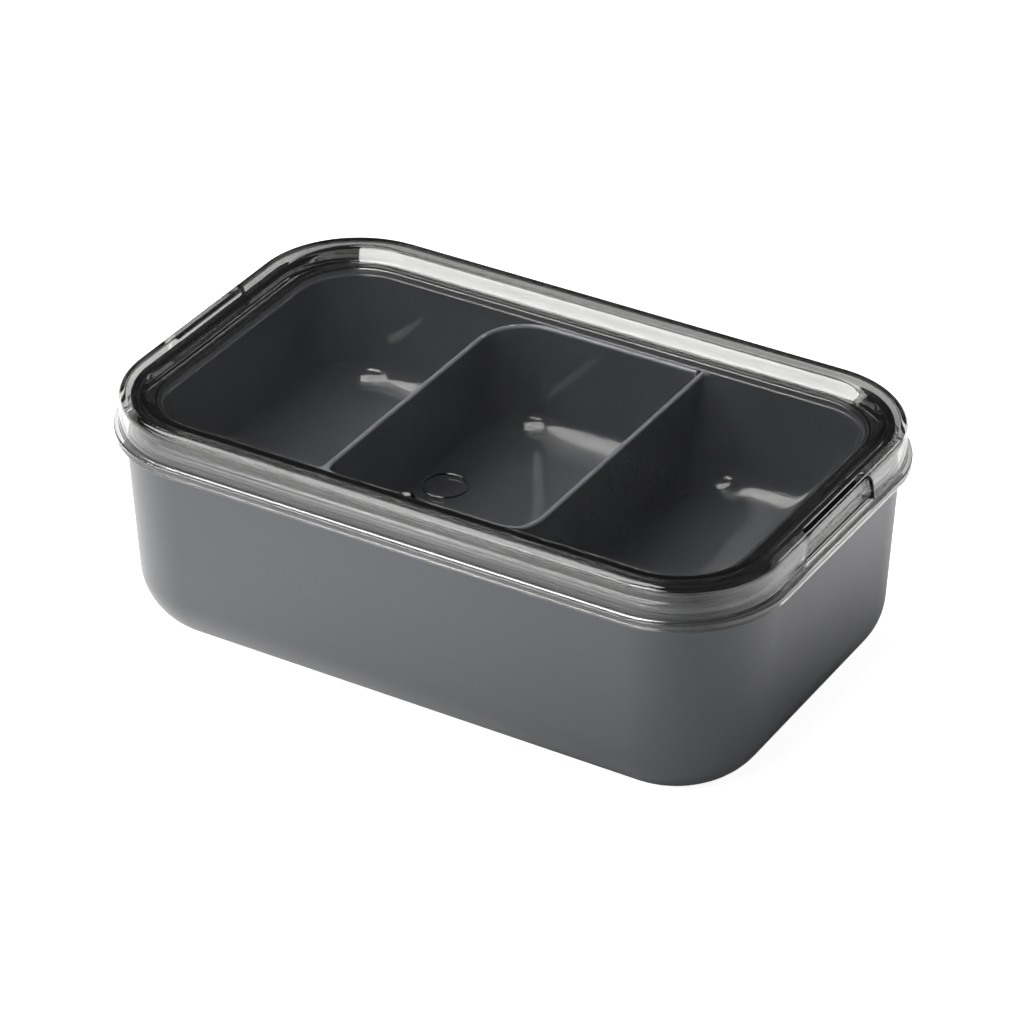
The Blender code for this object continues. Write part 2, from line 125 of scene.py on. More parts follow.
SEAL_OUTER_INSET = 3.4 * MM
SEAL_INNER_INSET = 9.0 * MM
SEAL_BOTTOM = 65.3 * MM
SEAL_ROOF_END = 4.9 * MM
SEAL_LIP_WIDTH = 0.9 * MM
SEAL_LIP_RISE = 0.8 * MM

# Painted light on the floor, seen only in reflections and bounced light. Emission rises along each
# direction between two distances: towards the front-left and, past the box's shadow, towards the
# right-back. The floor beside the box on its right stays dark as painted shade. The camera sees an even
# white instead.
PAINTED_FLOOR_LIGHT_FRONT = ((-0.7, -0.71, 0.0), 0.005, 0.115, 1.2)
PAINTED_FLOOR_LIGHT_RIGHT_BACK = ((0.86, 0.5, 0.0), 0.095, 0.195, 1.45)
FLOOR_GLOW_SEEN = 0.92

CORNER_STEPS = 24
BODY_TONES = ((0.034, 0.036, 0.041), (0.042, 0.044, 0.050))
TRAY_TONES = ((0.053, 0.055, 0.062), (0.064, 0.066, 0.074))
SMOKE_DENSITY = 400.0


# ---------------------------------------------------------------- mesh tools

def outline(inset, side_stops=()):
    """Rounded rectangle at an inset, anticlockwise, with extra points along the short sides."""
    half_x = HALF_LENGTH - inset
    half_y = HALF_WIDTH - inset
    radius = max(CORNER_RADIUS - inset, 0.5 * MM)
    flat_x = half_x - radius
    flat_y = half_y - radius
    points = [(half_x, y) for y in side_stops]
    centres = ((flat_x, flat_y), (-flat_x, flat_y), (-flat_x, -flat_y), (flat_x, -flat_y))
    for corner, (cx, cy) in enumerate(centres):
        for step in range(CORNER_STEPS + 1):
            angle = math.radians(90.0) * (corner + step / CORNER_STEPS)
            points.append((cx + radius * math.cos(angle), cy + radius * math.sin(angle)))
        if corner == 1:
            points.extend((-half_x, -y) for y in side_stops)
    return points


def rounded(corners, step_angle=12.0):
    """A profile (inset, z) from corners (inset, z, radius), with each corner turned into an arc."""
    points = [Vector(corners[0][:2])]
    for before, here, after in zip(corners, corners[1:], corners[2:]):
        corner = Vector(here[:2])
        back = (Vector(before[:2]) - corner).normalized()
        ahead = (Vector(after[:2]) - corner).normalized()
        turn = math.pi - back.angle(ahead)
        if here[2] <= 0.0 or turn < 0.01:
            points.append(corner)
            continue
        reach = here[2] * math.tan(turn / 2.0)
        centre = corner + (back + ahead).normalized() * here[2] / math.cos(turn / 2.0)
        start = corner + back * reach - centre
        side = 1.0 if back.cross(ahead) < 0.0 else -1.0
        steps = max(2, round(math.degrees(turn) / step_angle))
        for step in range(steps + 1):
            angle = side * turn * step / steps
            cos, sin = math.cos(angle), math.sin(angle)
            arm = Vector((start.x * cos - start.y * sin, start.x * sin + start.y * cos))
            points.append(centre + arm)
    points.append(Vector(corners[-1][:2]))
    return [(p.x, p.y) for p in points]


def closed_rounded(corners, step_angle=15.0):
    """The same for a profile that closes on itself."""
    ends = [corners[-1], *corners, corners[0]]
    return rounded(ends, step_angle)[1:-1]


def sweep(profile, closed=False, side_stops=(), displace=None):
    bm = bmesh.new()
    loops = []
    for inset, z in profile:
        loop = []
        for x, y in outline(inset, side_stops):
            if displace:
                x += displace(inset, x, y, z)
            loop.append(bm.verts.new((x, y, z)))
        loops.append(loop)
    pairs = list(zip(loops, loops[1:]))
    if closed:
        pairs.append((loops[-1], loops[0]))
    count = len(loops[0])
    for lower, upper in pairs:
        for i in range(count):
            j = (i + 1) % count
            bm.faces.new((lower[i], lower[j], upper[j], upper[i]))
    if not closed:
        bm.faces.new(loops[0])
        bm.faces.new(loops[-1])
    return bm


def add_piece(name, bm, material, body, node, sharp=35.0):
    bmesh.ops.recalc_face_normals(bm, faces=bm.faces)
    mesh = bpy.data.meshes.new(name)
    bm.to_mesh(mesh)
    bm.free()
    mesh.materials.append(material)
    mesh.shade_smooth()
    mesh.set_sharp_from_angle(angle=math.radians(sharp))
    obj = bpy.data.objects.new(name, mesh)
    bpy.context.scene.collection.objects.link(obj)
    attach(obj, body)
    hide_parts(node)
    return obj


# ----------------------------------------------------------------- materials

def node(tree, kind, **inputs):
    made = tree.nodes.new(kind)
    for key, value in inputs.items():
        made.inputs[key.replace("_", " ")].default_value = value
    return made


def ramp(tree, source, low, high, start=0.0, stop=1.0):
    """Remaps a factor between two values."""
    made = tree.nodes.new("ShaderNodeMapRange")
    made.inputs["From Min"].default_value = start
    made.inputs["From Max"].default_value = stop
    made.inputs["To Min"].default_value = low
    made.inputs["To Max"].default_value = high
    tree.links.new(source, made.inputs["Value"])
    return made.outputs["Result"]


def moulded_plastic(name, tones, roughness, grain=1.0, ior=1.49, rub_and_highlight_strength=0.5, paler=2.6,
                    rub_and_highlight_from=-1.0, scuff=0.0):
    """Satin moulded plastic: cloudy colour, fine grain, paler sharp edges and uneven gloss.

    rub_and_highlight_strength is how strongly sharp edges turn paler, above the height
    rub_and_highlight_from. At the defaults these are rubbed edges. On the dividers, stronger and kept to
    the top, they are a painted highlight along the top edges.
    scuff is how strongly everything near the dividers' top does: a painted highlight along the dividers'
    top.
    """
    dark, light = tones
    material = bpy.data.materials.new(name)
    material.use_nodes = True
    tree = material.node_tree
    shader = tree.nodes["Principled BSDF"]
    place = tree.nodes.new("ShaderNodeTexCoord")

    cloud = node(tree, "ShaderNodeTexNoise", Scale=28.0, Detail=3.0, Roughness=0.55)
    tree.links.new(place.outputs["Object"], cloud.inputs["Vector"])
    speck = node(tree, "ShaderNodeTexNoise", Scale=900.0, Detail=2.0, Roughness=0.6)
    tree.links.new(place.outputs["Object"], speck.inputs["Vector"])
    fine = node(tree, "ShaderNodeTexNoise", Scale=2600.0, Detail=2.0, Roughness=0.5)
    tree.links.new(place.outputs["Object"], fine.inputs["Vector"])

    blend = tree.nodes.new("ShaderNodeMix")
    blend.data_type = "RGBA"
    blend.inputs["A"].default_value = (*dark, 1.0)
    blend.inputs["B"].default_value = (*light, 1.0)
    shares = tree.nodes.new("ShaderNodeMath")
    shares.operation = "MULTIPLY_ADD"
    shares.inputs[1].default_value = 0.35
    tree.links.new(speck.outputs["Fac"], shares.inputs[0])
    tree.links.new(ramp(tree, cloud.outputs["Fac"], 0.0, 0.65, 0.3, 0.7), shares.inputs[2])
    tree.links.new(shares.outputs[0], blend.inputs["Factor"])

    shape = tree.nodes.new("ShaderNodeNewGeometry")
    sharpness = ramp(tree, shape.outputs["Pointiness"], 0.0, rub_and_highlight_strength, 0.52, 0.60)
    height = tree.nodes.new("ShaderNodeSeparateXYZ")
    tree.links.new(place.outputs["Object"], height.inputs["Vector"])
    above_paling_height = ramp(tree, height.outputs["Z"], 0.0, 1.0, rub_and_highlight_from, rub_and_highlight_from + 2.0 * MM)
    sharp_rub_and_highlight = tree.nodes.new("ShaderNodeMath")
    sharp_rub_and_highlight.operation = "MULTIPLY"
    tree.links.new(sharpness, sharp_rub_and_highlight.inputs[0])
    tree.links.new(above_paling_height, sharp_rub_and_highlight.inputs[1])
    # Everything just under the dividers' top turns pale too: a painted highlight along their top edge.
    rub_and_painted_top_highlight = tree.nodes.new("ShaderNodeMath")
    rub_and_painted_top_highlight.operation = "MAXIMUM"
    crown = ramp(tree, height.outputs["Z"], 0.0, scuff, DIVIDER_TOP - PAINTED_TOP_HIGHLIGHT_START, DIVIDER_TOP - PAINTED_TOP_HIGHLIGHT_FULL)
    tree.links.new(sharp_rub_and_highlight.outputs[0], rub_and_painted_top_highlight.inputs[0])
    tree.links.new(crown, rub_and_painted_top_highlight.inputs[1])
    edges = rub_and_painted_top_highlight.outputs[0]
    # Pale colour mixed in at sharp edges and near the dividers' top: rubbed edges on the body and tray,
    # painted highlight on the dividers' top edges.
    rub_and_highlight_tint = tree.nodes.new("ShaderNodeMix")
    rub_and_highlight_tint.data_type = "RGBA"
    rub_and_highlight_tint.inputs["B"].default_value = (*[min(c * paler, 1.0) for c in light], 1.0)
    tree.links.new(edges, rub_and_highlight_tint.inputs["Factor"])
    tree.links.new(blend.outputs["Result"], rub_and_highlight_tint.inputs["A"])
    tree.links.new(rub_and_highlight_tint.outputs["Result"], shader.inputs["Base Color"])

    gloss = ramp(tree, cloud.outputs["Fac"], roughness * 0.9, roughness * 1.1, 0.3, 0.7)
    duller = tree.nodes.new("ShaderNodeMix")
    duller.inputs["B"].default_value = 0.42
    tree.links.new(edges, duller.inputs["Factor"])
    tree.links.new(gloss, duller.inputs["A"])
    tree.links.new(duller.outputs["Result"], shader.inputs["Roughness"])

    coarse = node(tree, "ShaderNodeBump", Strength=0.05 * grain, Distance=0.0003)
    tree.links.new(speck.outputs["Fac"], coarse.inputs["Height"])
    surface = node(tree, "ShaderNodeBump", Strength=0.08 * grain, Distance=0.0001)
    tree.links.new(fine.outputs["Fac"], surface.inputs["Height"])
    tree.links.new(coarse.outputs["Normal"], surface.inputs["Normal"])
    tree.links.new(surface.outputs["Normal"], shader.inputs["Normal"])
    shader.inputs["IOR"].default_value = ior
    return material


def smoke(tree, colour, density):
    """Tints light by how far it travels inside the material."""
    absorb = tree.nodes.new("ShaderNodeVolumeAbsorption")
    absorb.inputs["Color"].default_value = (*colour, 1.0)
    absorb.inputs["Density"].default_value = density
    tree.links.new(absorb.outputs["Volume"], tree.nodes["Material Output"].inputs["Volume"])


def let_lamps_through(tree, shader, colour):
    """Lamps light what is behind the surface as well."""
    through = tree.nodes.new("ShaderNodeBsdfTransparent")
    through.inputs["Color"].default_value = (*colour, 1.0)
    path = tree.nodes.new("ShaderNodeLightPath")
    mixer = tree.nodes.new("ShaderNodeMixShader")
    tree.links.new(path.outputs["Is Shadow Ray"], mixer.inputs["Fac"])
    tree.links.new(shader.outputs["BSDF"], mixer.inputs[1])
    tree.links.new(through.outputs["BSDF"], mixer.inputs[2])
    tree.links.new(mixer.outputs["Shader"], tree.nodes["Material Output"].inputs["Surface"])


def clear_plastic(name):
    """Polished smoke-tinted plastic with faint scuffs and a slightly wavy skin."""
    material = bpy.data.materials.new(name)
    material.use_nodes = True
    tree = material.node_tree
    shader = tree.nodes["Principled BSDF"]
    shader.inputs["Transmission Weight"].default_value = 1.0
    shader.inputs["IOR"].default_value = 1.46
    place = tree.nodes.new("ShaderNodeTexCoord")
    cloud = node(tree, "ShaderNodeTexNoise", Scale=22.0, Detail=2.0, Roughness=0.5)
    tree.links.new(place.outputs["Object"], cloud.inputs["Vector"])
    tint = tree.nodes.new("ShaderNodeMix")
    tint.data_type = "RGBA"
    tint.inputs["A"].default_value = (0.93, 0.93, 0.92, 1.0)
    tint.inputs["B"].default_value = (0.97, 0.97, 0.96, 1.0)
    tree.links.new(ramp(tree, cloud.outputs["Fac"], 0.0, 1.0, 0.35, 0.65), tint.inputs["Factor"])
    tree.links.new(tint.outputs["Result"], shader.inputs["Base Color"])
    scuff = node(tree, "ShaderNodeTexNoise", Scale=140.0, Detail=4.0, Roughness=0.6)
    tree.links.new(place.outputs["Object"], scuff.inputs["Vector"])
    haze = ramp(tree, scuff.outputs["Fac"], 0.0, 0.035, 0.4, 0.8)
    tree.links.new(haze, shader.inputs["Roughness"])
    wave = node(tree, "ShaderNodeBump", Strength=0.008, Distance=0.0004)
    tree.links.new(cloud.outputs["Fac"], wave.inputs["Height"])
    tree.links.new(wave.outputs["Normal"], shader.inputs["Normal"])
    let_lamps_through(tree, shader, (0.94, 0.94, 0.94))
    smoke(tree, (0.50, 0.498, 0.488), SMOKE_DENSITY)
    return material


def clear_silicone(name):
    """Soft clear silicone: cloudy smoke tint, frosted skin with a fine grain."""
    material = bpy.data.materials.new(name)
    material.use_nodes = True
    tree = material.node_tree
    shader = tree.nodes["Principled BSDF"]
    shader.inputs["Transmission Weight"].default_value = 1.0
    shader.inputs["IOR"].default_value = 1.41
    place = tree.nodes.new("ShaderNodeTexCoord")
    cloud = node(tree, "ShaderNodeTexNoise", Scale=60.0, Detail=3.0, Roughness=0.5)
    tree.links.new(place.outputs["Object"], cloud.inputs["Vector"])
    tone = tree.nodes.new("ShaderNodeMix")
    tone.data_type = "RGBA"
    tone.inputs["A"].default_value = (0.88, 0.88, 0.87, 1.0)
    tone.inputs["B"].default_value = (0.94, 0.94, 0.93, 1.0)
    tree.links.new(cloud.outputs["Fac"], tone.inputs["Factor"])
    tree.links.new(tone.outputs["Result"], shader.inputs["Base Color"])
    tree.links.new(ramp(tree, cloud.outputs["Fac"], 0.02, 0.05), shader.inputs["Roughness"])
    grain = node(tree, "ShaderNodeTexNoise", Scale=1800.0, Detail=2.0, Roughness=0.5)
    tree.links.new(place.outputs["Object"], grain.inputs["Vector"])
    bump = node(tree, "ShaderNodeBump", Strength=0.05, Distance=0.0001)
    tree.links.new(grain.outputs["Fac"], bump.inputs["Height"])
    tree.links.new(bump.outputs["Normal"], shader.inputs["Normal"])
    let_lamps_through(tree, shader, (0.9, 0.9, 0.9))
    smoke(tree, (0.5, 0.5, 0.5), SMOKE_DENSITY)
    return material


# -------------------------------------------------------------------- pieces

def body_wall(z):
    """Inset of the body's outer wall line at a height."""
    return BODY_TOP_INSET + (SHOULDER_TOP - SHOULDER_ROUNDING - z) * BODY_DRAFT


def make_body(material):
    floor = BODY_WALL
    corners = [
        (BODY_FLAT_INSET, 0.0, 0.0),
        (body_wall(0.0), 0.0, BODY_BASE_RADIUS),
        (BODY_TOP_INSET, SHOULDER_TOP, SHOULDER_ROUNDING),
        (NECK_OUTSIDE, SHOULDER_TOP, 0.3 * MM),
        (NECK_OUTSIDE, NECK_TOP, NECK_EDGE),
        (NECK_INSIDE, NECK_TOP, NECK_EDGE),
        (NECK_INSIDE, NECK_TOP - NECK_DEPTH, 0.6 * MM),
        (body_wall(NECK_STEP_HEIGHT) + BODY_WALL, NECK_STEP_HEIGHT, 1.0 * MM),
        (body_wall(floor) + BODY_WALL, floor, BODY_BASE_RADIUS - floor),
        (BODY_FLAT_INSET, floor, 0.0),
    ]
    bm = sweep(rounded(corners, 6.0))
    return add_piece("box_body_shell", bm, material, "box", "box_body")


def tray_wall(z, gap=0.0):
    """Inset of the tray's inner wall at a height, with its fillet at the floor."""
    inset = TRAY_INNER_INSET + (TRAY_TOP - z) * TRAY_DRAFT + gap
    radius = TRAY_FILLET - gap
    drop = TRAY_FLOOR + TRAY_FILLET - z
    if drop > 0.0:
        drop = min(drop, radius)
        inset += radius - math.sqrt(radius * radius - drop * drop)
    return inset


def make_tray(material):
    wall_outside = TRAY_INNER_INSET - TRAY_WALL
    foot_outside = wall_outside + (TRAY_FLANGE_UNDERSIDE - TRAY_UNDERSIDE) * TRAY_DRAFT
    foot_inside = TRAY_INNER_INSET + (TRAY_TOP - TRAY_FLOOR) * TRAY_DRAFT
    corners = [
        (TRAY_FLAT_INSET, TRAY_UNDERSIDE, 0.0),
        (foot_outside, TRAY_UNDERSIDE, TRAY_FILLET + TRAY_FLOOR - TRAY_UNDERSIDE),
        (wall_outside, TRAY_FLANGE_UNDERSIDE, 0.6 * MM),
        (TRAY_FLANGE_INSET, TRAY_FLANGE_UNDERSIDE, 0.4 * MM),
        (TRAY_FLANGE_INSET, TRAY_TOP, 0.5 * MM),
        (TRAY_INNER_INSET, TRAY_TOP, 0.8 * MM),
        (foot_inside, TRAY_FLOOR, TRAY_FILLET),
        (TRAY_FLAT_INSET, TRAY_FLOOR, 0.0),
    ]
    bm = sweep(rounded(corners, 7.5))
    return add_piece("inner_tray_shell", bm, material, "tray", "inner_tray")


def recess_reach(z):
    """Half length of the finger recess at a height: its ends are arches, narrow at the top."""
    rise = min(max((z - LIP_TOP) / (RECESS_TOP - LIP_TOP), 0.0), 1.0)
    arch = math.sqrt(1.0 - rise * rise)
    return RECESS_HALF_FLAT + (RECESS_HALF_LENGTH - RECESS_HALF_FLAT) * max(arch, RECESS_LEAST_ARCH)


def recess_amount(y, z, foot):
    """How deep the finger recess is at a point of the skirt, from 0 to 1."""
    if z < foot or z > RECESS_TOP:
        return 0.0
    reach = recess_reach(z)
    along = min(max((reach - abs(y)) / (reach - RECESS_HALF_FLAT), 0.0), 1.0)
    up = min((RECESS_TOP - z) / (RECESS_TOP - RECESS_SHOULDER), 1.0)
    return math.sqrt(1.0 - (1.0 - along) ** 2) * math.sin(up * math.pi / 2.0)


def lid_displacement(inset, x, y, z):
    """Moves the skirt's faces in towards the middle where the finger recesses are."""
    if abs(y) > RECESS_HALF_LENGTH or abs(x) < HALF_LENGTH - 3.0 * MM:
        return 0.0
    if inset < 1.0 * MM:
        depth = RECESS_DEPTH * recess_amount(y, z, LIP_TOP + 0.2 * MM)
    else:
        depth = RECESS_INNER_STEP * recess_amount(y, z, LIP_TOP - 0.2 * MM)
    return -math.copysign(depth, x)


def lid_profile():
    """The lid's section: from the panel's top, out over the rim and back to its underside."""
    skirt_heights = [RECESS_TOP - 0.02 * MM]
    rise = RECESS_TOP - LIP_TOP - LIP_SHOULDER
    skirt_heights += [RECESS_TOP - rise * step / 18.0 for step in range(1, 19)]
    top = rounded(
        [
            (PANEL_INSET + 2.5 * MM, PANEL_TOP, 0.0),
            (PANEL_INSET, PANEL_TOP, 4.0 * MM),
            (RIM_INNER_INSET, LID_TOP, 5.0 * MM),
            (0.2 * MM, LID_TOP, RIM_ROUNDING),
            (0.15 * MM, LIP_TOP + LIP_SHOULDER, 0.0),
        ],
        9.0,
    )[:-1]
    top = [p for p in top if p[1] > RECESS_TOP or p[0] > 1.0 * MM]
    skirt = []
    for z in skirt_heights:
        share = (z - LIP_TOP) / (LID_TOP - LIP_TOP)
        bulge = max(z - (LID_TOP - RIM_ROUNDING), 0.0)
        rounding = RIM_ROUNDING - math.sqrt(RIM_ROUNDING**2 - bulge**2)
        skirt.append((0.18 * MM * share + rounding, z))
    lip = rounded(
        [
            (0.0, LIP_TOP + LIP_SHOULDER, 0.0),
            (0.0, LIP_TOP - FINE, 0.25 * MM),
            (-LIP_PROJECTION, LIP_TOP - 0.2 * MM, 0.4 * MM),
            (-LIP_PROJECTION, LID_BOTTOM, 0.35 * MM),
            (LIP_WALL_INSET, LID_BOTTOM, 0.4 * MM),
            (LIP_WALL_INSET, LIP_TOP - LIP_WALL_INSET, 0.3 * MM),
            (SKIRT_INSIDE, LIP_TOP - 0.5 * MM, 0.2 * MM),
            (SKIRT_INSIDE, LIP_TOP - 0.15 * MM, 0.0),
        ],
        15.0,
    )[1:]
    inside_rise = [LIP_TOP + (RIM_ROOF - 1.2 * MM - LIP_TOP) * step / 14.0 for step in range(15)]
    inside = [(SKIRT_INSIDE + FINE, z) for z in inside_rise]
    roof = rounded(
        [
            (SKIRT_INSIDE + FINE, RIM_ROOF - 1.1 * MM, 0.0),
            (SKIRT_INSIDE + FINE, RIM_ROOF, 0.9 * MM),
            (RIM_INNER_INSET - 0.9 * MM, RIM_ROOF, 0.8 * MM),
            (PANEL_INSET - 1.7 * MM, PANEL_TOP - 1.5 * MM, 0.6 * MM),
            (PANEL_INSET - RIB_WIDTH, RIB_BOTTOM, 0.4 * MM),
            (PANEL_INSET, RIB_BOTTOM, 0.4 * MM),
            (PANEL_INSET + 0.2 * MM, PANEL_UNDERSIDE, 0.4 * MM),
            (PANEL_INSET + 1.5 * MM, PANEL_UNDERSIDE, 0.0),
        ],
        12.0,
    )
    return top + skirt + lip + inside + roof


def cut(target, tools):
    """Applies boolean modifiers (object, operation) to a mesh and removes the tools."""
    for tool, operation in tools:
        modifier = target.modifiers.new(tool.name, "BOOLEAN")
        modifier.operation = operation
        modifier.object = tool
        modifier.solver = "EXACT"
    graph = bpy.context.evaluated_depsgraph_get()
    result = bpy.data.meshes.new_from_object(target.evaluated_get(graph), depsgraph=graph)
    target.modifiers.clear()
    target.data = result
    for tool, _ in tools:
        bpy.data.objects.remove(tool)


def turned(name, profile, centre, segments=96):
    """A solid turned round Z from (radius, z) points, the first and last on the axis."""
    bm = bmesh.new()
    rings = []
    for radius, z in profile:
        if radius == 0.0:
            rings.append([bm.verts.new((0.0, 0.0, z))])
            continue
        ring = []
        for step in range(segments):
            angle = 2.0 * math.pi * step / segments
            ring.append(bm.verts.new((radius * math.cos(angle), radius * math.sin(angle), z)))
        rings.append(ring)
    for lower, upper in zip(rings, rings[1:]):
        for i in range(segments):
            j = (i + 1) % segments
            if len(lower) == 1:
                bm.faces.new((lower[0], upper[j], upper[i]))
            elif len(upper) == 1:
                bm.faces.new((lower[i], lower[j], upper[0]))
            else:
                bm.faces.new((lower[i], lower[j], upper[j], upper[i]))
    bmesh.ops.translate(bm, verts=bm.verts, vec=Vector(centre))
    bmesh.ops.recalc_face_normals(bm, faces=bm.faces)
    mesh = bpy.data.meshes.new(name)
    bm.to_mesh(mesh)
    bm.free()
    tool = bpy.data.objects.new(name, mesh)
    bpy.context.scene.collection.objects.link(tool)
    return tool


def make_lid(material):
    ramp_length = RECESS_HALF_LENGTH - RECESS_HALF_FLAT
    half = [0.0, 5.0 * MM, 10.0 * MM]
    half += [RECESS_HALF_FLAT + ramp_length * step / 24.0 for step in range(25)]
    stops = [-y for y in reversed(half[1:])] + half
    bm = sweep(lid_profile(), False, stops, lid_displacement)
    lid = add_piece("lid_shell", bm, material, "lid", "lid", 40.0)
    ring = [(0.0, -MARK_ROOT), (MARK_RADIUS + MARK_LINE, -MARK_ROOT)]
    for step in range(9):
        angle = math.pi * step / 8.0
        z = MARK_HEIGHT * math.sin(angle)
        ring.append((MARK_RADIUS + MARK_LINE * math.cos(angle), z))
    ring += [(MARK_RADIUS - MARK_LINE, -MARK_ROOT / 2.0), (0.0, -MARK_ROOT / 2.0)]
    mark = turned("mark_ring", ring, (*MARK_CENTRE, PANEL_TOP))
    bead = [(0.0, -NUB_RADIUS)]
    for step in range(1, 12):
        angle = math.pi * (step / 12.0 - 0.5)
        bead.append((NUB_RADIUS * math.cos(angle), NUB_RADIUS * math.sin(angle)))
    bead.append((0.0, NUB_RADIUS))
    nub = turned("nub_shape", bead, (0.0, 0.0, 0.0), 32)
    for vert in nub.data.vertices:
        vert.co.x *= NUB_STRETCH
    nub.data.transform(nub.matrix_world.Translation(Vector(NUB_CENTRE)))
    cut(lid, [(mark, "UNION"), (nub, "UNION")])
    lid.data.shade_smooth()
    lid.data.set_sharp_from_angle(angle=math.radians(40.0))
    return lid


def make_seal(material):
    outer = SEAL_OUTER_INSET
    inner = SEAL_INNER_INSET
    middle = (outer + inner) / 2.0
    lip_top = SEAL_BOTTOM + SEAL_LIP_RISE
    groove = lip_top + FINE
    roof = RIM_ROOF - FIT_GAP - FINE
    corners = [
        (outer + SEAL_LIP_WIDTH, SEAL_BOTTOM, 0.3 * MM),
        (outer, lip_top, 0.4 * MM),
        (outer, roof, 0.8 * MM),
        (SEAL_ROOF_END, roof, 0.5 * MM),
        (inner, PANEL_TOP - 1.7 * MM, 0.6 * MM),
        (inner, lip_top, 0.4 * MM),
        (inner - SEAL_LIP_WIDTH, SEAL_BOTTOM, 0.3 * MM),
        (middle + SEAL_LIP_RISE, groove, 0.3 * MM),
        (middle - SEAL_LIP_RISE, groove, 0.3 * MM),
    ]
    bm = sweep(closed_rounded(corners), True)
    return add_piece("lid_seal_ring", bm, material, "lid", "lid_seal")


def foot_width(z):
    """How far a divider's foot flares out from its web at a height."""
    rise = max(z - (TRAY_FLOOR + FOOT_GAP) - FOOT_EDGE, 0.0)
    if rise >= FOOT_RADIUS:
        return 0.0
    drop = FOOT_RADIUS - rise
    return FOOT_RADIUS - math.sqrt(FOOT_RADIUS**2 - drop * drop)


def divider_heights():
    bottom = TRAY_FLOOR + FOOT_GAP
    heights = [bottom, bottom + FOOT_EDGE]
    for step in range(1, 13):
        angle = math.radians(90.0) * step / 13.0
        heights.append(bottom + FOOT_EDGE + FOOT_RADIUS * (1.0 - math.cos(angle)))
    for step in range(4):
        heights.append(TRAY_FLOOR + TRAY_FILLET * (0.76 + 0.08 * step))
    crown = DIVIDER_THICKNESS * 0.5
    heights.append(DIVIDER_TOP - crown - EDGE_BAND)
    for step in range(7):
        heights.append(DIVIDER_TOP - crown * (1.0 - math.sin(math.radians(90.0) * step / 6.0)))
    return heights


def cove(z, radius):
    """Radius of the right divider's corner fillet, which runs out below the top edge."""
    drop = DIVIDER_TOP - z
    if drop <= COVE_RUNOUT:
        return radius * max(drop / COVE_RUNOUT, 0.02) ** 0.8
    return radius


def divider_section(z, flange_end, heel, outside_cove, steps=28):
    """Outline of the bent divider at a height, seen from above, with its web along Y at x = 0."""
    foot = foot_width(z)
    crown = DIVIDER_THICKNESS * 0.5
    shrink = 0.0
    if z > DIVIDER_TOP - crown:
        rise = min((z - DIVIDER_TOP) / crown + 1.0, 1.0)
        shrink = crown * (1.0 - math.sqrt(max(1.0 - rise * rise, 0.0))) * CROWN_SHARE
    half = DIVIDER_THICKNESS / 2.0
    wall = HALF_WIDTH - tray_wall(z, DIVIDER_END_GAP)
    bend = DIVIDER_BEND
    centre_y = wall - half - bend
    outer = half - shrink
    inner = half - shrink + foot
    end = flange_end - foot
    points = []
    if outside_cove > 0.0:
        radius = cove(z, outside_cove) - foot * 0.5
        for step in range(steps + 1):
            angle = math.radians(270.0 + 90.0 * step / steps)
            x = -outer - radius + radius * math.cos(angle)
            points.append((x, -wall + radius + radius * math.sin(angle)))
    else:
        points += [(-outer - foot, -wall), (-outer - foot, -wall + EDGE_BAND)]
    points += [(-outer - foot, centre_y - HEEL_TAPER), (-outer, centre_y)]
    for step in range(1, steps + 1):
        angle = math.radians(180.0 - 90.0 * step / steps)
        x = bend + (bend + outer) * math.cos(angle)
        points.append((x, centre_y + (bend + outer) * math.sin(angle)))
    points.append((end - EDGE_BAND, centre_y + bend + outer))
    points.append((end, centre_y + bend + outer))
    points.append((end, centre_y + bend - inner))
    points.append((end - EDGE_BAND, centre_y + bend - inner))
    for step in range(steps + 1):
        angle = math.radians(90.0 + 90.0 * step / steps)
        x = bend + (bend - inner) * math.cos(angle)
        points.append((x, centre_y + (bend - inner) * math.sin(angle)))
    if heel > 0.0:
        radius = heel - foot * 0.5
        for step in range(steps + 1):
            angle = math.radians(180.0 + 90.0 * step / steps)
            x = inner + radius + radius * math.cos(angle)
            points.append((x, -wall + radius + radius * math.sin(angle)))
    else:
        points += [(inner, -wall + EDGE_BAND), (inner, -wall)]
    return points


def make_divider(name, node_name, body, material, centre, turned_round, flange_end, heel, outside):
    bm = bmesh.new()
    side = -1.0 if turned_round else 1.0
    loops = []
    for z in divider_heights():
        section = divider_section(z, flange_end, heel, outside)
        loops.append([bm.verts.new((centre + side * x, side * y, z)) for x, y in section])
    count = len(loops[0])
    for lower, upper in zip(loops, loops[1:]):
        for i in range(count):
            j = (i + 1) % count
            bm.faces.new((lower[i], lower[j], upper[j], upper[i]))
    ends = [bm.faces.new(loops[0]), bm.faces.new(loops[-1])]
    bmesh.ops.triangulate(bm, faces=ends)
    return add_piece(name, bm, material, body, node_name)


def make_dividers(material):
    span = 2.0 * DIVIDER_CENTRE - DIVIDER_THICKNESS / 2.0
    make_divider("divider_left_wall", "divider_left", "left_divider", material,
                 -DIVIDER_CENTRE, False, span - FLANGE_END_GAP, HEEL_RADIUS, 0.0)
    make_divider("divider_right_wall", "divider_right", "right_divider", material,
                 DIVIDER_CENTRE, True, span - HEEL_FLANGE_GAP, 0.0, COVE_RADIUS)


# --------------------------------------------------------------------- studio

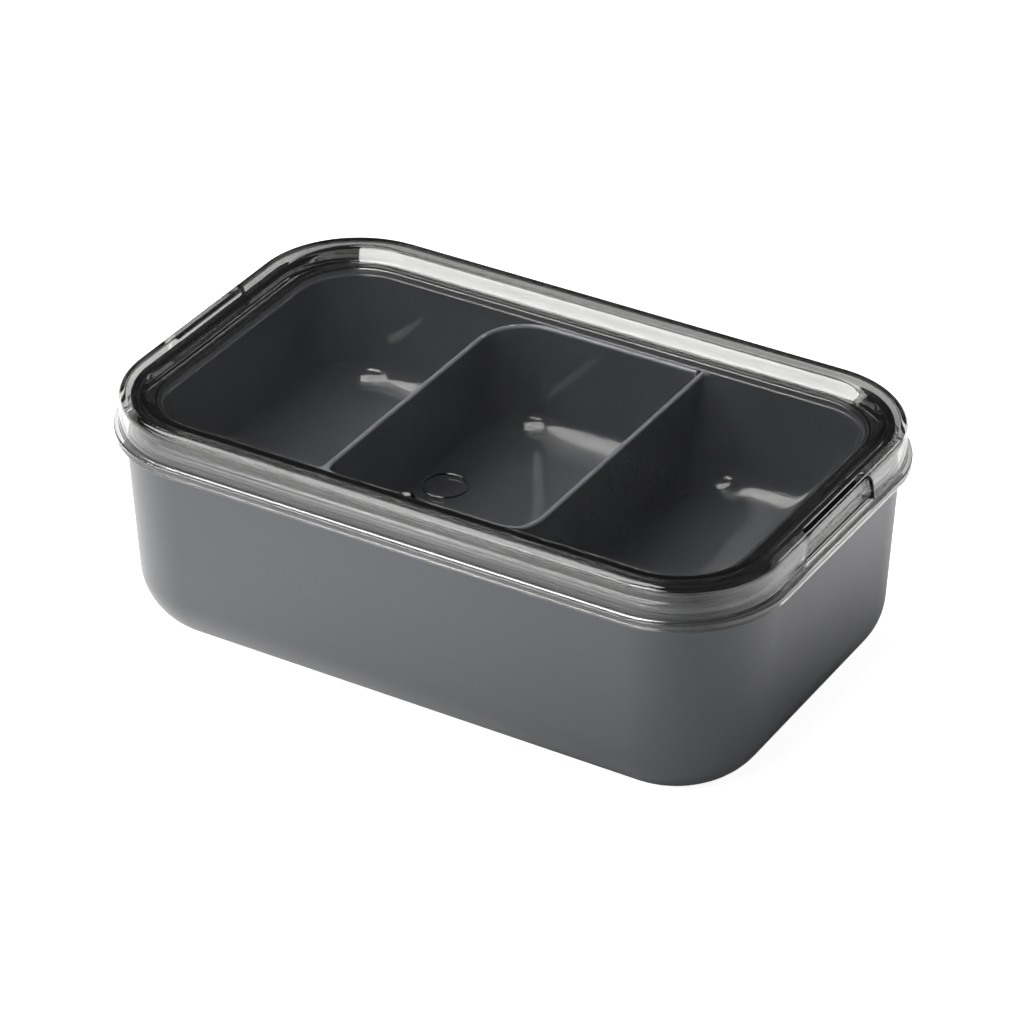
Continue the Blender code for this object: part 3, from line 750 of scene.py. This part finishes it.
def make_floor():
    """Pale floor that burns out to white around the box for the camera, as it does on a lit studio table.
    Reflections and bounced light see painted light instead: emission brighter towards the front-left and,
    past the box's shadow, towards the right-back, with painted shade beside the box on its right.
    """
    mesh = bpy.data.meshes.new("studio_floor")
    size = 6.0
    z = -0.0002
    corners = [(-size, -size, z), (size, -size, z), (size, size, z), (-size, size, z)]
    mesh.from_pydata(corners, [], [(0, 1, 2, 3)])
    floor = bpy.data.objects.new("studio_floor", mesh)
    bpy.context.scene.collection.objects.link(floor)
    material = bpy.data.materials.new("studio_floor")
    material.use_nodes = True
    tree = material.node_tree
    shader = tree.nodes["Principled BSDF"]
    shader.inputs["Base Color"].default_value = (0.5, 0.5, 0.5, 1.0)
    shader.inputs["Roughness"].default_value = 0.9
    shader.inputs["Specular IOR Level"].default_value = 0.1
    shader.inputs["Emission Color"].default_value = (1.0, 1.0, 1.0, 1.0)
    place = tree.nodes.new("ShaderNodeTexCoord")
    brighter = tree.nodes.new("ShaderNodeMath")
    brighter.operation = "MAXIMUM"
    # Painted floor light for reflections and bounced light: the larger of two emission ramps.
    for slot, (direction, start, stop, most) in enumerate((PAINTED_FLOOR_LIGHT_FRONT, PAINTED_FLOOR_LIGHT_RIGHT_BACK)):
        along = tree.nodes.new("ShaderNodeVectorMath")
        along.operation = "DOT_PRODUCT"
        along.inputs[1].default_value = direction
        tree.links.new(place.outputs["Object"], along.inputs[0])
        painted_floor_light = ramp(tree, along.outputs["Value"], 0.0, most, start, stop)
        tree.links.new(painted_floor_light, brighter.inputs[slot])
    path = tree.nodes.new("ShaderNodeLightPath")
    pick = tree.nodes.new("ShaderNodeMix")
    tree.links.new(path.outputs["Is Camera Ray"], pick.inputs["Factor"])
    tree.links.new(brighter.outputs[0], pick.inputs["A"])
    pick.inputs["B"].default_value = FLOOR_GLOW_SEEN
    tree.links.new(pick.outputs["Result"], shader.inputs["Emission Strength"])
    mesh.materials.append(material)


def area_light(name, direction, distance, size, radiance, middle=(0.0, 0.0, 0.05)):
    """Softbox of a given brightness, looking at the box from a direction."""
    data = bpy.data.lights.new(name, "AREA")
    data.shape = "RECTANGLE"
    data.size = size[0]
    data.size_y = size[1]
    data.energy = radiance * math.pi * size[0] * size[1]
    light = bpy.data.objects.new(name, data)
    back = Vector(direction).normalized()
    light.location = Vector(middle) + back * distance
    light.rotation_mode = "QUATERNION"
    light.rotation_quaternion = (-back).to_track_quat("-Z", "Y")
    bpy.context.scene.collection.objects.link(light)
    return light


def make_lights():
    area_light("key_softbox", (-0.39, -0.24, 0.90), 1.0, (0.85, 0.82), 11.5)
    area_light("front_softbox", (-0.04, -0.85, 0.55), 1.15, (0.44, 0.24), 15.5)
    area_light("front_left_strip", (-0.433, -0.73, 0.52), 1.15, (0.34, 0.10), 14.0)
    area_light("right_back_softbox", (0.56, 0.73, 0.40), 0.8, (0.26, 0.18), 6.0)
    area_light("back_left_strip", (-0.43, 0.34, 0.84), 1.0, (0.30, 0.20), 5.0)


def make_world():
    """Dark room for reflections, white to the camera."""
    world = bpy.data.worlds.new("studio")
    bpy.context.scene.world = world
    world.use_nodes = True
    tree = world.node_tree
    dim = tree.nodes["Background"]
    dim.inputs["Color"].default_value = (0.95, 0.97, 1.0, 1.0)
    dim.inputs["Strength"].default_value = 0.07
    seen = tree.nodes.new("ShaderNodeBackground")
    seen.inputs["Color"].default_value = (1.0, 1.0, 1.0, 1.0)
    seen.inputs["Strength"].default_value = 1.0
    path = tree.nodes.new("ShaderNodeLightPath")
    mixer = tree.nodes.new("ShaderNodeMixShader")
    tree.links.new(path.outputs["Is Camera Ray"], mixer.inputs["Fac"])
    tree.links.new(dim.outputs["Background"], mixer.inputs[1])
    tree.links.new(seen.outputs["Background"], mixer.inputs[2])
    tree.links.new(mixer.outputs["Shader"], tree.nodes["World Output"].inputs["Surface"])


def make_camera():
    azimuth = math.radians(30.7)
    elevation = math.radians(32.0)
    distance = 1.282
    focal_length = 163.2
    back = Vector((
        math.sin(azimuth) * math.cos(elevation),
        -math.cos(azimuth) * math.cos(elevation),
        math.sin(elevation),
    ))
    right = Vector((math.cos(azimuth), math.sin(azimuth), 0.0))
    up = back.cross(right)
    target = Vector((0.0, 0.0, 35.0 * MM)) + right * 0.26 * MM + up * 2.0 * MM
    data = bpy.data.cameras.new("camera")
    data.sensor_width = 36.0
    data.lens = focal_length
    data.clip_start = 0.05
    data.clip_end = 50.0
    camera = bpy.data.objects.new("camera", data)
    camera.location = target + back * distance
    camera.rotation_mode = "QUATERNION"
    camera.rotation_quaternion = (-back).to_track_quat("-Z", "Y")
    bpy.context.scene.collection.objects.link(camera)
    bpy.context.scene.camera = camera


def main():
    scene = bpy.context.scene
    scene.view_settings.view_transform = "Standard"
    body_grey = moulded_plastic("satin_body_grey", BODY_TONES, 0.40)
    tray_grey = moulded_plastic("satin_tray_grey", TRAY_TONES, 0.06, grain=0.2, ior=1.8)
    # The dividers' pale top edges and the pale band along their top are painted highlight.
    divider_grey = moulded_plastic(
        "satin_divider_grey", TRAY_TONES, 0.06,
        grain=0.2, ior=1.7, rub_and_highlight_strength=1.0, paler=5.0, rub_and_highlight_from=60.0 * MM, scuff=0.45,
    )
    make_body(body_grey)
    make_tray(tray_grey)
    make_dividers(divider_grey)
    make_seal(clear_silicone("clear_silicone"))
    make_lid(clear_plastic("smoked_clear_plastic"))
    make_floor()
    make_lights()
    make_world()
    make_camera()


main()
